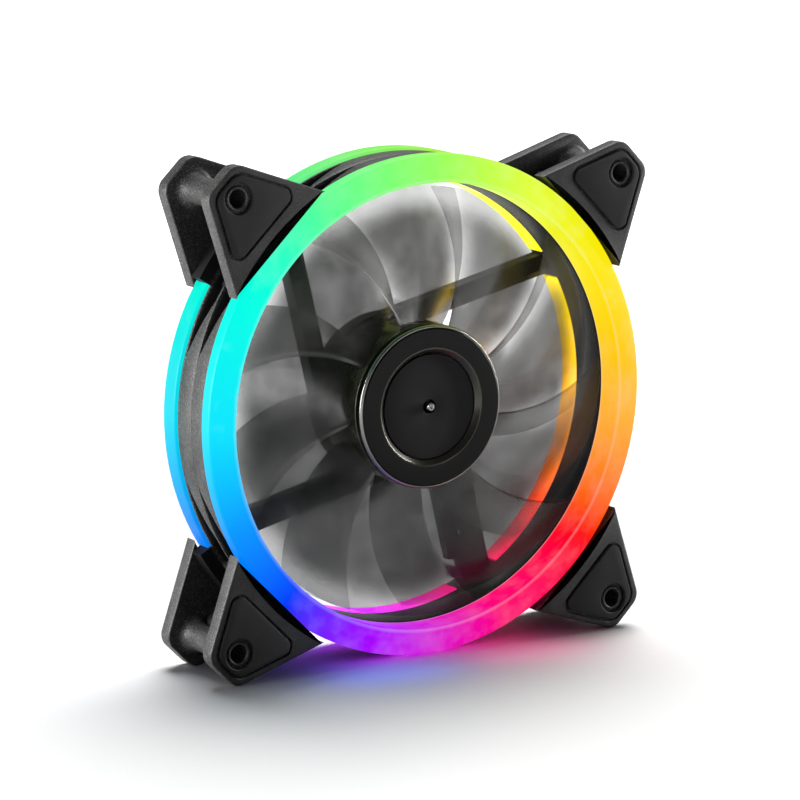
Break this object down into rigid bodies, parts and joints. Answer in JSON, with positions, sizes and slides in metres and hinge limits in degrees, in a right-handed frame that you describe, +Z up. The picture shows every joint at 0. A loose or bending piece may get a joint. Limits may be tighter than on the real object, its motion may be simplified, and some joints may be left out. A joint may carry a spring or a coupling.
{
  "type": "case fan",
  "caption": "Square-mount computer case fan with a milky light ring on each side, paired corner ears and a smoky translucent impeller.",
  "frame": {"origin": "bottom centre of the bounding box: on the surface that the two lower ears stand on, halfway between the pad faces", "axes": "+Z up; +Y along the fan's axis, towards the struts and the air outlet, so the intake side faces -Y; +X to the right as seen from the intake side"},
  "size_m": [0.12, 0.025, 0.12],
  "materials": {
    "frame_plastic": "black moulded plastic with a fine speckled texture",
    "light_ring_plastic": "milky diffuser, lit in all the hues of the colour wheel around the fan",
    "led_strip_board": "white flexible circuit strip",
    "led_lens": "clear epoxy over a yellow phosphor",
    "pad_rubber": "matte black rubber",
    "bearing_bronze": "oiled sintered bronze",
    "seal_rubber": "matte",
    "nylon": "natural nylon",
    "stator_steel": "stamped silicon steel laminations",
    "insulator_nylon": "natural nylon",
    "coil_copper": "enamelled copper wire",
    "circuit_board": "green solder mask",
    "chip_plastic": "black moulded epoxy",
    "capacitor_ceramic": "tan ceramic",
    "pin_tin": "tinned",
    "rear_label_film": "plain dark film, unprinted",
    "impeller_plastic": "smoky translucent plastic, polished",
    "hub_cap_plastic": "piano black",
    "hub_label_film": "plain matte black film, unprinted",
    "yoke_steel": "drawn steel",
    "magnet_ferrite": "bonded ferrite",
    "shaft_steel": "ground and polished"
  },
  "bodies": {
    "frame": {"frame": "frame_plastic", "front_light_ring": "light_ring_plastic", "front_led_strip": "led_strip_board", "front_led_1": "led_lens", "front_led_2": "led_lens", "front_led_3": "led_lens", "front_led_4": "led_lens", "front_led_5": "led_lens", "front_led_6": "led_lens", "front_led_7": "led_lens", "front_led_8": "led_lens", "front_pad_upper_left": "pad_rubber", "front_pad_upper_right": "pad_rubber", "front_pad_lower_left": "pad_rubber", "front_pad_lower_right": "pad_rubber", "rear_light_ring": "light_ring_plastic", "rear_led_strip": "led_strip_board", "rear_led_1": "led_lens", "rear_led_2": "led_lens", "rear_led_3": "led_lens", "rear_led_4": "led_lens", "rear_led_5": "led_lens", "rear_led_6": "led_lens", "rear_led_7": "led_lens", "rear_led_8": "led_lens", "rear_pad_upper_left": "pad_rubber", "rear_pad_upper_right": "pad_rubber", "rear_pad_lower_left": "pad_rubber", "rear_pad_lower_right": "pad_rubber", "bearing_sleeve": "bearing_bronze", "oil_seal": "seal_rubber", "bearing_plug": "seal_rubber", "thrust_pad": "nylon", "stator_core": "stator_steel", "stator_insulator_front": "insulator_nylon", "stator_insulator_rear": "insulator_nylon", "stator_coil_1": "coil_copper", "stator_coil_2": "coil_copper", "stator_coil_3": "coil_copper", "stator_coil_4": "coil_copper", "motor_circuit_board": "circuit_board", "hall_sensor": "chip_plastic", "driver_chip": "chip_plastic", "capacitor_1": "capacitor_ceramic", "capacitor_2": "capacitor_ceramic", "terminal_pin_1": "pin_tin", "terminal_pin_2": "pin_tin", "terminal_pin_3": "pin_tin", "terminal_pin_4": "pin_tin", "rear_label": "rear_label_film"},
    "rotor": {"impeller": "impeller_plastic", "hub_cap": "hub_cap_plastic", "hub_label": "hub_label_film", "rotor_yoke": "yoke_steel", "magnet_ring": "magnet_ferrite", "shaft": "shaft_steel", "retaining_clip": "shaft_steel"}
  },
  "joints": [
    {"name": "impeller_spin", "type": "hinge", "parent": "frame", "child": "rotor", "pos_m": [0, 0, 0.06], "axis": [0, -1, 0], "continuous": true}
  ]
}
